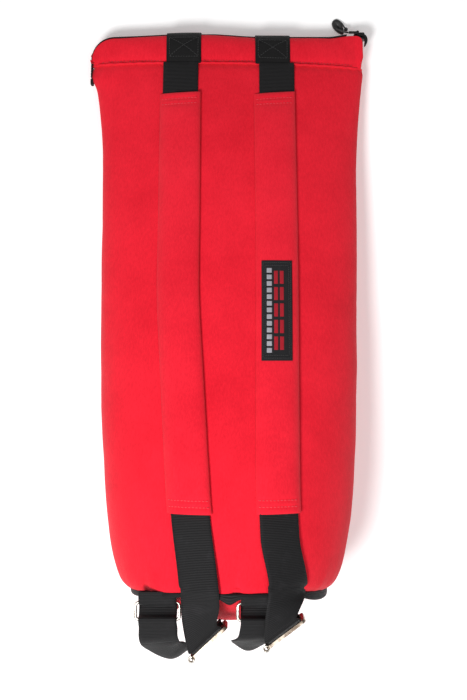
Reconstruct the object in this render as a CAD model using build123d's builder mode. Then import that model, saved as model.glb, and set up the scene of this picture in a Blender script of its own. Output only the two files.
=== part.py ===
"""Padded round-base carry bag with a flattened zip mouth and two shoulder straps.

The bag lies on its front: +Y points to the mouth, +Z up through its back, +X to the right strap.
The origin is on the flat patch that the bag rests on. All sizes are in millimetres.
"""
import os
from math import cos, radians, sin, sqrt, tan

from build123d import *

os.makedirs("parts", exist_ok=True)

# ---- driving sizes of the bag -------------------------------------------------------------------
seam_y = 331.0              # the piped seam, where the padded tube ends and the mouth's band begins
body_length = 583.0         # from the piped seam to the middle of the base
base_y = seam_y - body_length
band_length = 35.0          # from the piped seam to the zip
mouth_y = seam_y + band_length
mouth_width = 316.0
mouth_height = 44.0
mid_width = 290.0
base_width = 212.0
base_height = 200.0
base_tilt = 8.5             # the base leans out at the table, in degrees
rest_flat = 4.0             # how much of the round underside is pressed flat on the table
mouth_flare = 10            # how quickly the mouth's extra width fades along the bag
base_rounding = 6           # how late the sides round in towards the base

# ---- layers -------------------------------------------------------------------------------------
canvas = 1.2
foam = 8.0
lining_cloth = 0.8
layer_gap = 0.2             # between layers sewn into one wall
wall = canvas + foam + lining_cloth + 2 * layer_gap
band_foam = 3.0
band_wall = canvas + band_foam + lining_cloth + 2 * layer_gap
body_gap = 0.5              # between pieces that move apart

# ---- base ---------------------------------------------------------------------------------------
board = 3.0
base_foam_edge = 2.0
dome = 24.0                 # how far the padded base stands out in its middle
dome_taper = 1.25           # how gently the dome starts at its rim
tab_rise = 0.2              # share of the dome's rise where the ring tabs are sewn on
binding = 2.0
binding_width = 10.0

# ---- zip ----------------------------------------------------------------------------------------
zip_z = 20.5                # height of the zip's middle line above the table
zip_slot = 14.6             # gap between the two fabric edges that the tapes bridge
slot_depth = 14.0
tape = 0.8
tooth_height = 1.1
tooth_depth = 2.8
teeth_apart = 1.6           # lets the slider's post run between the rows
tooth_pitch = 5.0
tooth_width = 3.0
zip_right = mouth_width / 2 - 2
zip_left = 12 - mouth_width / 2
flap_zip_right = mouth_width / 2 - 19
flap_zip_left = 31 - mouth_width / 2
zip_corner = 12.5
zip_side_end = seam_y - 13
slider_x = mouth_width / 2 - 6    # middle of the slider when the zip is closed
slider_length = 12.0
slider_height = 12.6
slider_plate = 1.5
slider_gap = 4.4            # between the slider's two plates
pull_length = 9.0
pull_width = 5.0
pull_thickness = 1.6
cord_d = 2.0

# ---- straps -------------------------------------------------------------------------------------
webbing_width = 40.0
webbing = 1.8
patch_width = 39.4
patch_length = 28.0
sleeve_width = 48.0
sleeve_thickness = 12.0
sleeve_top_y = seam_y - 38
sleeve_bottom_y = base_y + 84
sleeve_corner = 5.0
sleeve_cloth = 1.0
label_width = 33.0
label_length = 108.0
label_y = 43.0
label_cloth = 1.2

# ---- metal fittings -----------------------------------------------------------------------------
ring_wire = 3.2
ring_inside = 42.0
ring_depth = 18.0           # between the ring's two long bars
ring_clearance = 0.4
tab_length = 5.0            # from where a ring tab leaves the base to its ring's near bar
glide_inside = 42.0
glide_height = 30.0
glide_wire = 3.4
glide_bar = 3.2
glide_corner = 5.0

# Each strap's middle line on the bag, from the piped seam to the base's rim, and its fittings.
straps = {
    "left": {
        "line": [(-55.0, seam_y), (-56.5, 60.0), (-40.0, sleeve_bottom_y), (-28.5, base_y + 5)],
        "patch_x": -52.3,
        "glide": (-20.0, base_y - 45, 174.0),
        "glide_turn": 43.0,
        "ring_x": -73.0,
        "ring_z": 172.0,
    },
    "right": {
        "line": [(52.0, seam_y), (52.0, 60.0), (51.5, sleeve_bottom_y), (56.0, base_y + 5)],
        "patch_x": 50.1,
        "glide": (58.0, base_y - 36, 174.0),
        "glide_turn": 37.0,
        "ring_x": 32.0,
        "ring_z": 184.0,
    },
}


# ---- the bag's outer form -----------------------------------------------------------------------
def half_width(t):
    """Half the bag's width, t running from 0 at the piped seam to 1 at the base."""
    tube = base_width / 2 + (mid_width - base_width) / 2 * sqrt(max(0.0, 1 - t ** base_rounding))
    return tube + (mouth_width - mid_width) / 2 * (1 - t) ** mouth_flare


def back_height(t):
    return mouth_height + (base_height - mouth_height) * t


def section_plane(t):
    """The plane of one cross-section: square to the bag's length, but tilted near the base."""
    tilt = radians(base_tilt * t ** 4)
    middle = (back_height(t) - rest_flat) / 2
    return Plane(
        origin=(0, seam_y - body_length * t, middle),
        x_dir=(1, 0, 0),
        z_dir=(0, -cos(tilt), sin(tilt)),
    )


tube_sections = (0, 0.08, 0.2, 0.4, 0.6, 0.78, 0.9, 0.965, 1)
band_sections = ((0, 0, 24.0), (19, 0.5, 20.5), (29, 3, 15.0), (band_length, 7, 8.0))
made_forms = {}


def tube_form(inset):
    """The padded tube's form, inset from its outer face, flat where it rests."""
    if ("tube", inset) not in made_forms:
        with BuildPart(mode=Mode.PRIVATE) as form:
            for t in tube_sections:
                with BuildSketch(section_plane(t)):
                    Ellipse(half_width(t) - inset, (back_height(t) + rest_flat) / 2 - inset)
            loft()
            split(bisect_by=Plane.XY.offset(max(inset, 0)), keep=Keep.TOP)
        made_forms["tube", inset] = form.part
    return made_forms["tube", inset]


def band_form(inset):
    """The mouth's rounded end beyond the piped seam, inset from its outer face."""
    if ("band", inset) not in made_forms:
        with BuildPart(mode=Mode.PRIVATE) as form:
            for along, narrower, half_height in band_sections:
                reach = along - (inset if along == band_length else 0)
                centre = (0, seam_y + reach, back_height(0) / 2 - rest_flat / 2 + 0.5 * (along > 0))
                with BuildSketch(Plane(origin=centre, x_dir=(1, 0, 0), z_dir=(0, 1, 0))):
                    Ellipse(mouth_width / 2 - narrower - inset, half_height - inset * 0.98)
            loft()
            split(bisect_by=Plane.XY.offset(max(inset, 0)), keep=Keep.TOP)
        made_forms["band", inset] = form.part
    return made_forms["band", inset]


def shell(form, outer, inner):
    """The layer of a form between two insets, as a separate part to add to a builder."""
    with BuildPart(mode=Mode.PRIVATE) as layer:
        add(form(outer))
        add(form(inner), mode=Mode.SUBTRACT)
    return layer.part


def slab(x_range, y_range, z_range):
    """A plain box between given limits, for trimming."""
    with BuildPart(mode=Mode.PRIVATE) as block:
        with BuildSketch(Plane.XY.offset(z_range[0])):
            with BuildLine():
                Polyline(
                    (x_range[0], y_range[0]), (x_range[1], y_range[0]),
                    (x_range[1], y_range[1]), (x_range[0], y_range[1]), close=True,
                )
            make_face()
        extrude(amount=z_range[1] - z_range[0])
    return block.part


side_seam_slope = (base_height - mouth_height) / 2 / body_length


def side_seam(step):
    """The tilted plane through both side seams, raised by a step."""
    return Plane(
        origin=(0, seam_y, back_height(0) / 2 + step),
        x_dir=(1, 0, 0),
        z_dir=(0, side_seam_slope, 1),
    )


def finish(builder, name):
    """Label a finished piece and write it out."""
    builder.part.label = name
    export_step(builder.part, f"parts/{name}.step")


# ---- the mouth's band is split by the zip's slot -------------------------------------------------
zip_top = zip_z + zip_slot / 2
zip_bottom = zip_z - zip_slot / 2
wide = mouth_width
with BuildPart() as fixed_band:
    add(slab((-wide, wide), (seam_y, mouth_y - slot_depth), (0, zip_top)))
    add(slab((-wide, wide), (seam_y, mouth_y + 1), (0, zip_bottom)))
flap_start = seam_y + 1.5
flap_space = slab((-wide, wide), (flap_start, mouth_y + 1), (zip_top + body_gap, mouth_height * 2))

foam_start = canvas + layer_gap
foam_end = foam_start + foam
lining_start = foam_end + layer_gap
band_foam_end = foam_start + band_foam
band_lining_start = band_foam_end + layer_gap

with BuildPart() as back_panel:
    add(shell(tube_form, 0, canvas))
    split(bisect_by=side_seam(layer_gap), keep=Keep.TOP)
finish(back_panel, "back_panel")

with BuildPart() as back_foam:
    add(shell(tube_form, foam_start, foam_end))
    split(bisect_by=side_seam(layer_gap), keep=Keep.TOP)
finish(back_foam, "back_foam")

with BuildPart() as front_panel:
    add(shell(tube_form, 0, canvas))
    split(bisect_by=side_seam(0), keep=Keep.BOTTOM)
finish(front_panel, "front_panel")

with BuildPart() as front_foam:
    add(shell(tube_form, foam_start, foam_end))
    split(bisect_by=side_seam(0), keep=Keep.BOTTOM)
finish(front_foam, "front_foam")

with BuildPart() as lining:
    add(shell(tube_form, lining_start, wall))
finish(lining, "lining")

band_layers = {
    "mouth_band": (0, canvas),
    "mouth_band_foam": (foam_start, band_foam_end),
    "mouth_lining": (band_lining_start, band_wall),
}
for name, (outer, inner) in band_layers.items():
    with BuildPart() as band_layer:
        add(shell(band_form, outer, inner))
        split(bisect_by=Plane.XZ.offset(-seam_y - layer_gap), keep=Keep.BOTTOM)
        add(fixed_band.part, mode=Mode.INTERSECT)
    finish(band_layer, name)

# ---- the mouth's flap, which opens about the piped seam ------------------------------------------
flap_layers = {
    "flap_panel": (0, canvas),
    "flap_foam": (foam_start, band_foam_end),
    "flap_lining": (band_lining_start, band_wall),
}
for name, (outer, inner) in flap_layers.items():
    with BuildPart() as flap_layer:
        add(shell(band_form, outer, inner))
        add(flap_space, mode=Mode.INTERSECT)
    finish(flap_layer, name)

for side, strap in straps.items():
    patch_x = (strap["patch_x"] - patch_width / 2, strap["patch_x"] + patch_width / 2)
    with BuildPart() as anchor_patch:
        add(shell(band_form, -webbing, -0.1))
        patch_y = (seam_y + 5, seam_y + 5 + patch_length)
        add(slab(patch_x, patch_y, (zip_top + body_gap, mouth_height * 2)), mode=Mode.INTERSECT)
    finish(anchor_patch, f"{side}_anchor_patch")

# ---- the piped seam, a thin cord round the top of the tube's end ---------------------------------
piping = 1.2
with BuildPart() as top_seam_piping:
    with BuildSketch(Plane(origin=(0, seam_y + piping + 0.05, section_plane(0).origin.Z),
                           x_dir=(1, 0, 0), z_dir=(0, -1, 0))):
        Ellipse(mouth_width / 2 + 1.5, (mouth_height + rest_flat) / 2 + 1.3)
        Ellipse(mouth_width / 2 + 0.2, (mouth_height + rest_flat) / 2 + 0.2, mode=Mode.SUBTRACT)
    extrude(amount=piping)
    split(bisect_by=side_seam(1.0), keep=Keep.TOP)
finish(top_seam_piping, "top_seam_piping")


# ---- the base: lining, board, foam, canvas and binding, one behind the other ---------------------
def base_plane(step):
    """The base's plane, moved out of the bag by a step."""
    plane = section_plane(1)
    return Plane(origin=plane.origin + plane.z_dir * step, x_dir=plane.x_dir, z_dir=plane.z_dir)


base_a = base_width / 2
base_b = (base_height + rest_flat) / 2


def base_disc(start, thickness, inset):
    with BuildPart(mode=Mode.PRIVATE) as disc:
        with BuildSketch(base_plane(start)):
            Ellipse(base_a - inset, base_b - inset)
        extrude(amount=thickness)
        split(bisect_by=Plane.XY.offset(inset), keep=Keep.TOP)
    return disc


def base_lens(start, rise, inset):
    """A plano-convex pad: a short rim, then rings that narrow towards the middle."""
    with BuildPart(mode=Mode.PRIVATE) as lens:
        for share in (1, 0.94, 0.75, 0.45, 0.12):
            lift = base_foam_edge * (share < 1) + rise * (1 - share ** 2) ** dome_taper
            with BuildSketch(base_plane(start + lift)):
                Ellipse((base_a - inset) * share, (base_b - inset) * share)
        loft()
        split(bisect_by=Plane.XY.offset(inset), keep=Keep.TOP)
    return lens


finish(base_disc(layer_gap, lining_cloth, wall), "base_lining")
board_start = lining_cloth + 2 * layer_gap
finish(base_disc(board_start, board, wall), "base_board")
pad_start = board_start + board + layer_gap
pad_inset = canvas + binding
pad_reach = pad_start + base_foam_edge + tab_rise * dome + canvas
finish(base_lens(pad_start, dome, pad_inset), "base_foam")
with BuildPart() as base_panel:
    add(base_lens(pad_start, dome + canvas, pad_inset - canvas).part)
    add(base_lens(pad_start, dome + layer_gap, pad_inset - layer_gap).part, mode=Mode.SUBTRACT)
finish(base_panel, "base_panel")

with BuildPart() as base_binding:
    with BuildSketch(base_plane(layer_gap)):
        Ellipse(base_a + 1, base_b + 1)
        Ellipse(base_a - binding + 1, base_b - binding + 1, mode=Mode.SUBTRACT)
    extrude(amount=binding_width)
    split(bisect_by=Plane.XY, keep=Keep.TOP)
finish(base_binding, "base_binding")

# ---- zip ----------------------------------------------------------------------------------------
tape_middle = mouth_y + layer_gap + tape / 2


def tape_strip(x_range, z_range):
    return slab(x_range, (tape_middle - tape / 2, tape_middle + tape / 2), z_range)


def tooth_row(x_range, low):
    """A cord along the tape's edge with a row of teeth on it."""
    with BuildPart(mode=Mode.PRIVATE) as row:
        add(slab(x_range, (tape_middle - 1, tape_middle + 1), (low, low + tooth_height)))
        count = int((x_range[1] - x_range[0] - tooth_width) // tooth_pitch)
        middle = ((x_range[0] + x_range[1]) / 2, tape_middle, low + tooth_height / 2)
        with Locations(middle):
            with GridLocations(tooth_pitch, 1, count, 1):
                Box(tooth_width, tooth_depth, tooth_height)
    return row


front_teeth_top = zip_z - teeth_apart / 2
back_teeth_low = zip_z + teeth_apart / 2
with BuildPart() as front_zip_tape:
    add(tape_strip((zip_left, zip_right), (zip_bottom - 1.2, front_teeth_top - tooth_height)))
finish(front_zip_tape, "front_zip_tape")
with BuildPart() as back_zip_tape:
    flap_edge = zip_top + body_gap + 1.2
    add(tape_strip((flap_zip_left, flap_zip_right), (back_teeth_low + tooth_height, flap_edge)))
finish(back_zip_tape, "back_zip_tape")
finish(tooth_row((zip_left, zip_right), front_teeth_top - tooth_height), "front_zip_teeth")
finish(tooth_row((flap_zip_left, flap_zip_right), back_teeth_low), "back_zip_teeth")

with BuildPart() as side_zip_tape:
    with BuildSketch(Plane.XY.offset(zip_bottom)):
        with BuildLine():
            straight = Line((zip_left - 1, mouth_y + 1.6), (zip_left - 2, mouth_y + 1.6))
            corner = JernArc(straight @ 1, straight % 1, zip_corner, 90)
            Line(corner @ 1, (zip_left - 2 - zip_corner, zip_side_end))
        trace(line_width=1.2)
    extrude(amount=zip_slot)
finish(side_zip_tape, "side_zip_tape")

end_tab_x = zip_left - 2 - zip_corner
with BuildPart() as zip_end_tab:
    with Locations((end_tab_x, zip_side_end - 4.4, zip_z)):
        Box(3.4, 8, 11)
    fillet(zip_end_tab.edges().filter_by(Axis.X), 2.0)
finish(zip_end_tab, "zip_end_tab")

with BuildPart() as zip_slider:
    for face in (-1, 1):
        middle = tape_middle + face * (slider_gap + slider_plate) / 2
        with BuildSketch(Plane.XZ.offset(-middle)):
            with Locations((slider_x, zip_z)):
                RectangleRounded(slider_length, slider_height, 2.5)
        extrude(amount=slider_plate / 2, both=True)
    with Locations((slider_x - slider_length / 2 + 2, tape_middle, zip_z)):
        Box(2.4, slider_gap + 0.2, teeth_apart - 2 * 0.35)
    bail_y = tape_middle + slider_gap / 2 + slider_plate
    for end in (-1, 1):
        with Locations((slider_x - 2, bail_y + 1.2, zip_z + end * 3.4)):
            Box(3, 3, 1.2)
    with Locations((slider_x - 2, bail_y + 1.8, zip_z)):
        Cylinder(0.7, 7.0)
finish(zip_slider, "zip_slider")

pull_pin = (slider_x - 2, bail_y + 1.8)
with BuildPart() as zip_pull_tab:
    with BuildSketch(Plane.XY.offset(zip_z)):
        with Locations(pull_pin):
            Circle(1.6)
            Circle(0.8, mode=Mode.SUBTRACT)
        with Locations((pull_pin[0] - pull_length / 2 - 1.2, pull_pin[1])):
            Rectangle(pull_length - 0.6, pull_thickness)
    extrude(amount=pull_width / 2, both=True)
finish(zip_pull_tab, "zip_pull_tab")

# The cord pull: a leaf-shaped loop from the tab down to the table and back, with its ends knotted.
pull_route = [
    (139.1, 372.1, 20.5),
    (136.4, 373.2, 17.4),
    (132.8, 376.4, 11.4),
    (129.2, 380.2, 5.4),
    (124.4, 383.9, 1.9),
    (122.2, 389.8, 1.4),
    (127.0, 393.6, 1.4),
    (132.6, 390.2, 1.7),
    (135.8, 384.4, 4.8),
    (137.8, 378.8, 10.0),
]


def tangent_radii(points):
    """Each corner's radius: 0.45 of its shorter run, over the tangent of half the turn."""
    radii = []
    for before, corner, after in zip(points, points[1:], points[2:]):
        arriving = Vector(*corner) - Vector(*before)
        leaving = Vector(*after) - Vector(*corner)
        turn = arriving.get_angle(leaving)
        shorter = min(arriving.length, leaving.length)
        radii.append(0.45 * shorter / tan(radians(turn / 2)))
    return radii


radii = tangent_radii(pull_route)
print("pull cord radii:", [round(r, 1) for r in radii])
with BuildPart() as pull_cord:
    with BuildLine() as pull_line:
        FilletPolyline(*pull_route, radius=radii)
    with BuildSketch(Plane(origin=pull_line.line @ 0, z_dir=pull_line.line % 0)):
        Circle(cord_d / 2)
    sweep()
length = pull_line.wires()[0].length
print(f"pull cord length {length:.1f}, volume share {pull_cord.part.volume / (length * 3.1416):.3f}")
finish(pull_cord, "pull_cord")
with BuildPart() as pull_knot:
    with Locations(pull_line.line @ 1):
        Sphere(2.2)
    add(pull_cord.part, mode=Mode.SUBTRACT)
finish(pull_knot, "pull_knot")


# ---- shoulder straps ----------------------------------------------------------------------------
def strip(line, width, y_from, y_to, corner=0.0):
    """The plan of a strip that follows a strap's middle line between two places along the bag."""
    inner = [p for p in line if y_to < p[1] < y_from]
    points = [(line_x(line, y_from), y_from), *inner, (line_x(line, y_to), y_to)]
    left = [(x - width / 2, y) for x, y in points]
    right = [(x + width / 2, y) for x, y in reversed(points)]
    with BuildSketch(mode=Mode.PRIVATE) as plan:
        with BuildLine():
            Polyline(*left, *right, close=True)
        make_face()
        if corner:
            ends = plan.vertices().group_by(Axis.Y)
            fillet(ends[0] + ends[-1], corner)
    return plan.sketch


def line_x(line, y):
    """Where a strap's middle line crosses a place along the bag."""
    for (x0, y0), (x1, y1) in zip(line, line[1:]):
        if y1 <= y <= y0:
            return x0 + (x1 - x0) * (y0 - y) / (y0 - y1)
    return line[-1][0]


def cloth_on_back(plan, low, high):
    """A layer that lies on the bag's back: a strip's plan between two heights above the canvas."""
    with BuildPart(mode=Mode.PRIVATE) as cloth:
        with BuildSketch(Plane.XY.offset(mouth_height * 0.6)):
            add(plan)
        extrude(amount=base_height * 1.3)
        add(shell(tube_form, -high, -low), mode=Mode.INTERSECT)
    return cloth


def ribbon(stations, width, thickness):
    """Free webbing through a few cross-sections, each with its place, travel and width direction."""
    with BuildPart(mode=Mode.PRIVATE) as band:
        for place, travel, across in stations:
            with BuildSketch(Plane(origin=place, x_dir=across, z_dir=travel)):
                Rectangle(width, thickness)
        loft(ruled=True)
    return band


sleeve_low = body_gap
sleeve_high = sleeve_low + sleeve_thickness
rim_y = base_y + 5
for side, strap in straps.items():
    line = strap["line"]
    upper = strip(line, webbing_width - 0.6, seam_y - 3, sleeve_top_y + 0.3)
    finish(cloth_on_back(upper, sleeve_low, sleeve_low + webbing), f"{side}_upper_webbing")

    plan = strip(line, sleeve_width, sleeve_top_y, sleeve_bottom_y, sleeve_corner)
    core_plan = strip(line, sleeve_width - 2 * sleeve_cloth, sleeve_top_y - sleeve_cloth,
                      sleeve_bottom_y + sleeve_cloth, sleeve_corner)
    core = cloth_on_back(core_plan, sleeve_low + sleeve_cloth, sleeve_high - sleeve_cloth)
    gap_plan = strip(line, sleeve_width - 1.6 * sleeve_cloth, sleeve_top_y - 0.8 * sleeve_cloth,
                     sleeve_bottom_y + 0.8 * sleeve_cloth, sleeve_corner)
    hollow = cloth_on_back(gap_plan, sleeve_low + 0.8 * sleeve_cloth, sleeve_high - 0.8 * sleeve_cloth)
    with BuildPart() as sleeve:
        add(cloth_on_back(plan, sleeve_low, sleeve_high).part)
        add(hollow.part, mode=Mode.SUBTRACT)
    finish(core, f"{side}_sleeve_foam")
    finish(sleeve, f"{side}_sleeve")

    glide = Vector(*strap["glide"])
    turn = radians(strap["glide_turn"])
    across = Vector(cos(turn), sin(turn), 0)
    outward = Vector(sin(turn), -cos(turn), 0)
    on_back = strip(line, webbing_width, sleeve_bottom_y - 0.3, rim_y)
    lower = cloth_on_back(on_back, sleeve_low, sleeve_low + webbing)
    rim_x = line[-1][0]
    t_rim = (seam_y - rim_y) / body_length
    inner_x = max(0.0, abs(rim_x) - webbing_width / 2)
    share = sqrt(1 - (inner_x / half_width(t_rim)) ** 2)
    rim_top = section_plane(t_rim).origin.Z + (back_height(t_rim) + rest_flat) / 2 * share
    start = Vector(rim_x, rim_y - 0.3, rim_top + 3.4)
    top = glide + Vector(0, 0, glide_height / 2)
    half_turn = Vector(cos(turn / 2), sin(turn / 2), 0)
    stations = [
        (start, (0, -1, 0.02), (1, 0, 0)),
        (start + (glide - start) * 0.45 + Vector(0, 0, 14), (0, -1, -0.3), (1, 0.1, 0)),
        (top + outward * -1.5 + Vector(0, 0, 7), outward * 0.8 - Vector(0, 0, 1), half_turn * 1),
        (top + outward * 5.2 - Vector(0, 0, 1), Vector(0, 0, -1), across),
        (glide + outward * 0.3 + Vector(0, 0, 6), outward * -0.9 - Vector(0, 0, 1), across),
        (glide + outward * -4.0, Vector(0, 0, -1), across),
    ]
    free_part = ribbon(stations, webbing_width - 1, webbing)
    finish(lower, f"{side}_lower_webbing")
    finish(free_part, f"{side}_free_webbing")

    glide_plane = Plane(origin=glide, x_dir=across, z_dir=outward)
    with BuildPart() as glide_frame:
        with BuildSketch(glide_plane):
            width = glide_inside + 2 * glide_wire
            RectangleRounded(width, glide_height, glide_corner)
            RectangleRounded(glide_inside, glide_height - 2 * glide_wire, glide_corner - glide_wire,
                             mode=Mode.SUBTRACT)
        extrude(amount=glide_wire / 2, both=True)
    finish(glide_frame, f"{side}_glide_frame")
    with BuildPart() as glide_centre_bar:
        with BuildSketch(Plane(origin=glide - across * (glide_inside / 2), z_dir=across)):
            Circle(glide_bar / 2)
        extrude(amount=glide_inside)
    finish(glide_centre_bar, f"{side}_glide_bar")

    # The ring's near bar runs in the tab; its far bar carries the return loop.
    base = section_plane(1)
    ring_z = strap["ring_z"]
    face_y = base.origin.Y + (ring_z - base.origin.Z) * tan(radians(base_tilt))
    tab_start = face_y - pad_reach - body_gap
    pivot_y = tab_start - tab_length
    ring_x = strap["ring_x"]
    barrel = ring_wire / 2 + ring_clearance
    with BuildPart() as ring_tab:
        with BuildSketch(Plane.YZ.offset(ring_x - webbing_width / 2 + 1)):
            with Locations((pivot_y, ring_z)):
                Circle(barrel + webbing)
            with BuildLine():
                Polyline(
                    (pivot_y, ring_z + barrel + webbing), (tab_start, ring_z + 1.6),
                    (tab_start, ring_z - 1.6), (pivot_y, ring_z - barrel - webbing), close=True,
                )
            make_face()
            with Locations((pivot_y, ring_z)):
                Circle(barrel, mode=Mode.SUBTRACT)
        extrude(amount=webbing_width - 2)
    finish(ring_tab, f"{side}_ring_tab")
    with BuildPart() as ring:
        with BuildLine():
            half = (ring_inside + ring_wire) / 2
            corners = [
                (ring_x + half, pivot_y, ring_z),
                (ring_x + half, pivot_y - ring_depth, ring_z),
                (ring_x - half, pivot_y - ring_depth, ring_z),
                (ring_x - half, pivot_y, ring_z),
            ]
            wire_path = FilletPolyline(*corners, radius=4, close=True)
        with BuildSketch(Plane(origin=wire_path @ 0, z_dir=wire_path % 0)):
            Circle(ring_wire / 2)
        sweep()
    finish(ring, f"{side}_ring")

    far_bar = Vector(ring_x, pivot_y - ring_depth, ring_z)
    under = glide - Vector(0, 0, glide_height / 2 + 14)
    loop_stations = [
        (far_bar + Vector(0, -3.2, -0.5), (0, -1, -0.3), (1, 0, 0)),
        (far_bar + Vector(-14, -17, -20), (0, -0.6, -1), (0.95, -0.3, 0)),
        (under - across * 12, Vector(0.6, 0, -1), across),
    ]
    loop = ribbon(loop_stations, webbing_width - 2, webbing)
    finish(loop, f"{side}_return_loop")

label_line = straps["right"]["line"]
label_plan = strip(label_line, label_width, label_y + label_length / 2, label_y - label_length / 2)
label_low = sleeve_high + layer_gap
finish(cloth_on_back(label_plan, label_low, label_low + label_cloth), "sleeve_label")
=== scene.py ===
"""The looks of a padded carry bag: red canvas, black webbing, a zip and nickel fittings."""
import math

import bmesh
import bpy
import numpy as np
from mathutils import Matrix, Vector, noise


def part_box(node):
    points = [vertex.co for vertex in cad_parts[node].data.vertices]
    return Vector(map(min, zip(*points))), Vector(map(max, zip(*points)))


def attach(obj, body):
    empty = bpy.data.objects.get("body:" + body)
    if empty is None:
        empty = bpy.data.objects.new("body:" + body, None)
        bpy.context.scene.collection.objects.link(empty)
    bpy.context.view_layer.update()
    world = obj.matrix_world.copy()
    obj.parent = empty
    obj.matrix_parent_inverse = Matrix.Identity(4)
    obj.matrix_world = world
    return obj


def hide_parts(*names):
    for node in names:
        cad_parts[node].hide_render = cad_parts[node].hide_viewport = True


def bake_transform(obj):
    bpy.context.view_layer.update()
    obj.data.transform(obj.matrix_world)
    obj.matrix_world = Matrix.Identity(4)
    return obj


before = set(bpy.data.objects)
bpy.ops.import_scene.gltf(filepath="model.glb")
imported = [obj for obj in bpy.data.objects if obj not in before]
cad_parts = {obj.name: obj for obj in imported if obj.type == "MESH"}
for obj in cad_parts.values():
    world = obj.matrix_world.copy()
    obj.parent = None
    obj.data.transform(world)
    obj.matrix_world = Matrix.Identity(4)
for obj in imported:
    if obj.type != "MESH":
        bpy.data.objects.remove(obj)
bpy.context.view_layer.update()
MM = 0.001

# ---- sizes of the bag, in metres, read from the frame where it holds them ------------------------
SEAM_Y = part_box("back_panel")[1].y          # the piped seam
MOUTH_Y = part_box("flap_panel")[1].y         # the zip's edge
BAND = MOUTH_Y - SEAM_Y
MOUTH_HALF = (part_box("front_panel")[1].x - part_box("front_panel")[0].x) / 2
BASE_HALF = (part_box("base_binding")[1].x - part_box("base_binding")[0].x) / 2 - 1 * MM
MID_HALF = 145 * MM
MOUTH_HEIGHT = 44 * MM
BASE_HEIGHT = 200 * MM
BODY = 583 * MM                             # from the piped seam to the middle of the base
BASE_TILT = math.radians(8.5)
REST_FLAT = 4 * MM
WALL = 10.4 * MM
ZIP_Z = 20.5 * MM
ZIP_HALF = 7.3 * MM                         # half the gap between the fabric edges at the zip
WEBBING = 1.8 * MM
WEB_WIDTH = 39.5 * MM
# Each strap's middle line from the piped seam to the base's rim, in millimetres.
STRAPS = {
    "left": [(-55, 331), (-56.5, 60), (-40, -168), (-28.5, -247)],
    "right": [(52, 331), (52, 60), (51.5, -168), (56, -247)],
}
SLEEVE_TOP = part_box("left_sleeve")[1].y
SLEEVE_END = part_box("left_sleeve")[0].y


def smooth(x):
    x = np.clip(x, 0.0, 1.0)
    return x * x * (3 - 2 * x)


# ---- the bag's form ------------------------------------------------------------------------------
def half_width(t):
    tube = BASE_HALF + (MID_HALF - BASE_HALF) * math.sqrt(max(0.0, 1 - t ** 6))
    return tube + (MOUTH_HALF - MID_HALF) * (1 - min(t, 1.0)) ** 10


def back_height(t):
    return MOUTH_HEIGHT + (BASE_HEIGHT - MOUTH_HEIGHT) * t


def tube_point(t, angle, inset=0.0):
    """A point on the padded tube, t from 0 at the piped seam to 1 at the base, angle from +X."""
    across = half_width(t) - inset
    up = (back_height(t) + REST_FLAT) / 2 - inset
    tilt = BASE_TILT * t ** 4
    middle = (back_height(t) - REST_FLAT) / 2
    rise = up * math.sin(angle)
    z = middle + rise * math.cos(tilt)
    y = SEAM_Y - BODY * t + rise * math.sin(tilt)
    floor = inset
    soft = 3 * MM
    if z < floor + soft:
        z = floor + soft * math.exp((z - floor - soft) / soft) * 0.98
        z = max(z, floor)
    return Vector((across * math.cos(angle), y, z))


def back_point(x, y):
    """The point of the bag's back over a place (x, y), with its t."""
    t = (SEAM_Y - y) / BODY
    angle = math.pi / 2
    for _ in range(12):
        angle = math.acos(max(-0.999, min(0.999, x / half_width(min(t, 0.999)))))
        t += (tube_point(t, angle).y - y) / BODY
    return tube_point(t, angle), t


def ripple(p, size, seed=0.0):
    return noise.noise(Vector((p.x / size + seed, p.y / size + 1.7 * seed, p.z / size - seed)))


# ---- building meshes -----------------------------------------------------------------------------
def add_object(name, verts, faces, cloth=None):
    """A smooth mesh object; cloth holds each vertex's place on the flat cloth, in metres."""
    mesh = bpy.data.meshes.new(name)
    mesh.from_pydata([tuple(v) for v in verts], [], faces)
    if cloth is not None:
        layer = mesh.attributes.new("cloth", "FLOAT_VECTOR", "POINT")
        layer.data.foreach_set("vector", np.asarray(cloth, np.float32).ravel())
    shaped = bmesh.new()
    shaped.from_mesh(mesh)
    bmesh.ops.recalc_face_normals(shaped, faces=shaped.faces)
    shaped.to_mesh(mesh)
    shaped.free()
    mesh.polygons.foreach_set("use_smooth", [True] * len(mesh.polygons))
    piece = bpy.data.objects.new(name, mesh)
    bpy.context.scene.collection.objects.link(piece)
    return piece


def grid_normals(grid, wrap):
    along = np.gradient(grid, axis=0)
    if wrap:
        across = (np.roll(grid, -1, axis=1) - np.roll(grid, 1, axis=1)) / 2
    else:
        across = np.gradient(grid, axis=1)
    normal = np.cross(across, along)
    return normal / np.maximum(np.linalg.norm(normal, axis=2, keepdims=True), 1e-12)


def cloth_places(grid, wrap):
    """Each grid point's place on the flat cloth: distance across, then along."""
    rows, columns = grid.shape[:2]
    middle = grid[rows // 2]
    side = np.r_[0, np.cumsum(np.linalg.norm(np.diff(middle, axis=0), axis=1))]
    lengthwise = np.r_[0, np.cumsum(np.linalg.norm(np.diff(grid[:, columns // 2], axis=0), axis=1))]
    places = np.zeros((rows, columns, 3))
    places[:, :, 0] = side[None, :]
    places[:, :, 1] = lengthwise[:, None]
    return places


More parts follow.
